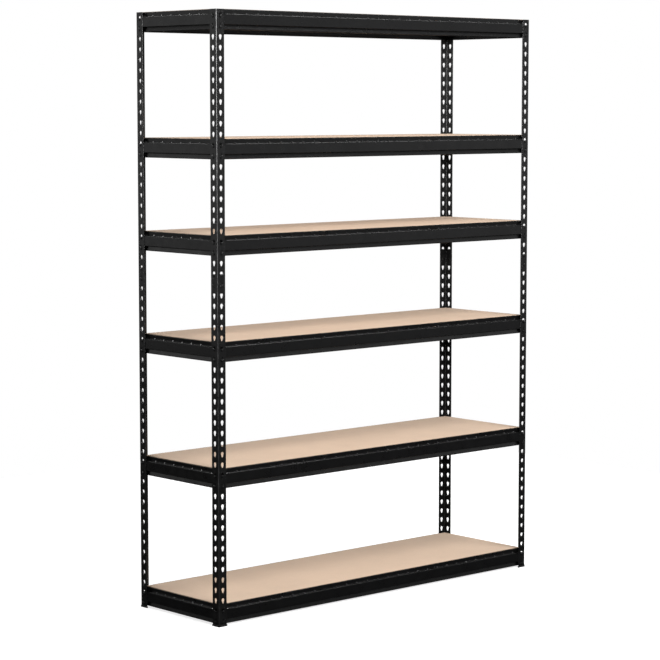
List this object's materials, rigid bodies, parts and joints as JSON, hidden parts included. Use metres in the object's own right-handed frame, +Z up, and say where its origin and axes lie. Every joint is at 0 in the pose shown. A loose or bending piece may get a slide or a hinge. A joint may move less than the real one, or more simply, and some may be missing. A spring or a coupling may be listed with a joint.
{
  "type": "boltless steel shelving",
  "caption": "Freestanding boltless steel shelving: tiers of fibreboard on riveted beams that hook into keyhole slots of four angle posts.",
  "frame": {"origin": "middle of the footprint, on the floor", "axes": "+X to the right along the shelves, +Y to the back, +Z up along the posts"},
  "size_m": [1.6108, 0.4638, 2.2076],
  "materials": {
    "post_steel": "black satin powder coat",
    "splice_steel": "black satin powder coat",
    "beam_steel": "black satin powder coat",
    "crossbar_steel": "black satin powder coat",
    "foot_plastic": "matt black moulded plastic",
    "board_mdf": "bare medium-density fibreboard, fine even fibre"
  },
  "bodies": {
    "frame": {"post_upper_front_left": "post_steel", "post_lower_front_left": "post_steel", "splice_front_left": "splice_steel", "foot_front_left": "foot_plastic", "post_upper_front_right": "post_steel", "post_lower_front_right": "post_steel", "splice_front_right": "splice_steel", "foot_front_right": "foot_plastic", "post_upper_back_right": "post_steel", "post_lower_back_right": "post_steel", "splice_back_right": "splice_steel", "foot_back_right": "foot_plastic", "post_upper_back_left": "post_steel", "post_lower_back_left": "post_steel", "splice_back_left": "splice_steel", "foot_back_left": "foot_plastic"},
    "tier_1": {"tier_1_beam_front": "beam_steel", "tier_1_beam_back": "beam_steel", "tier_1_beam_left": "beam_steel", "tier_1_beam_right": "beam_steel", "tier_1_crossbar_left": "crossbar_steel", "tier_1_crossbar_right": "crossbar_steel"},
    "board_1": {"board_1": "board_mdf"},
    "tier_2": {"tier_2_beam_front": "beam_steel", "tier_2_beam_back": "beam_steel", "tier_2_beam_left": "beam_steel", "tier_2_beam_right": "beam_steel", "tier_2_crossbar_left": "crossbar_steel", "tier_2_crossbar_right": "crossbar_steel"},
    "board_2": {"board_2": "board_mdf"},
    "tier_3": {"tier_3_beam_front": "beam_steel", "tier_3_beam_back": "beam_steel", "tier_3_beam_left": "beam_steel", "tier_3_beam_right": "beam_steel", "tier_3_crossbar_left": "crossbar_steel", "tier_3_crossbar_right": "crossbar_steel"},
    "board_3": {"board_3": "board_mdf"},
    "tier_4": {"tier_4_beam_front": "beam_steel", "tier_4_beam_back": "beam_steel", "tier_4_beam_left": "beam_steel", "tier_4_beam_right": "beam_steel", "tier_4_crossbar_left": "crossbar_steel", "tier_4_crossbar_right": "crossbar_steel"},
    "board_4": {"board_4": "board_mdf"},
    "tier_5": {"tier_5_beam_front": "beam_steel", "tier_5_beam_back": "beam_steel", "tier_5_beam_left": "beam_steel", "tier_5_beam_right": "beam_steel", "tier_5_crossbar_left": "crossbar_steel", "tier_5_crossbar_right": "crossbar_steel"},
    "board_5": {"board_5": "board_mdf"},
    "tier_6": {"tier_6_beam_front": "beam_steel", "tier_6_beam_back": "beam_steel", "tier_6_beam_left": "beam_steel", "tier_6_beam_right": "beam_steel", "tier_6_crossbar_left": "crossbar_steel", "tier_6_crossbar_right": "crossbar_steel"},
    "board_6": {"board_6": "board_mdf"}
  },
  "joints": [
    {"name": "tier_1_unlock", "type": "slide", "parent": "frame", "child": "tier_1", "axis": [0, 0, 1], "range_m": [0, 0.0075]},
    {"name": "board_1_lift", "type": "slide", "parent": "tier_1", "child": "board_1", "axis": [0, 0, 1], "range_m": [0, 0.2]},
    {"name": "tier_2_unlock", "type": "slide", "parent": "frame", "child": "tier_2", "axis": [0, 0, 1], "range_m": [0, 0.0075]},
    {"name": "board_2_lift", "type": "slide", "parent": "tier_2", "child": "board_2", "axis": [0, 0, 1], "range_m": [0, 0.2]},
    {"name": "tier_3_unlock", "type": "slide", "parent": "frame", "child": "tier_3", "axis": [0, 0, 1], "range_m": [0, 0.0075]},
    {"name": "board_3_lift", "type": "slide", "parent": "tier_3", "child": "board_3", "axis": [0, 0, 1], "range_m": [0, 0.2]},
    {"name": "tier_4_unlock", "type": "slide", "parent": "frame", "child": "tier_4", "axis": [0, 0, 1], "range_m": [0, 0.0075]},
    {"name": "board_4_lift", "type": "slide", "parent": "tier_4", "child": "board_4", "axis": [0, 0, 1], "range_m": [0, 0.2]},
    {"name": "tier_5_unlock", "type": "slide", "parent": "frame", "child": "tier_5", "axis": [0, 0, 1], "range_m": [0, 0.0075]},
    {"name": "board_5_lift", "type": "slide", "parent": "tier_5", "child": "board_5", "axis": [0, 0, 1], "range_m": [0, 0.2]},
    {"name": "tier_6_unlock", "type": "slide", "parent": "frame", "child": "tier_6", "axis": [0, 0, 1], "range_m": [0, 0.0075]},
    {"name": "board_6_lift", "type": "slide", "parent": "tier_6", "child": "board_6", "axis": [0, 0, 1], "range_m": [0, 0.2]}
  ]
}
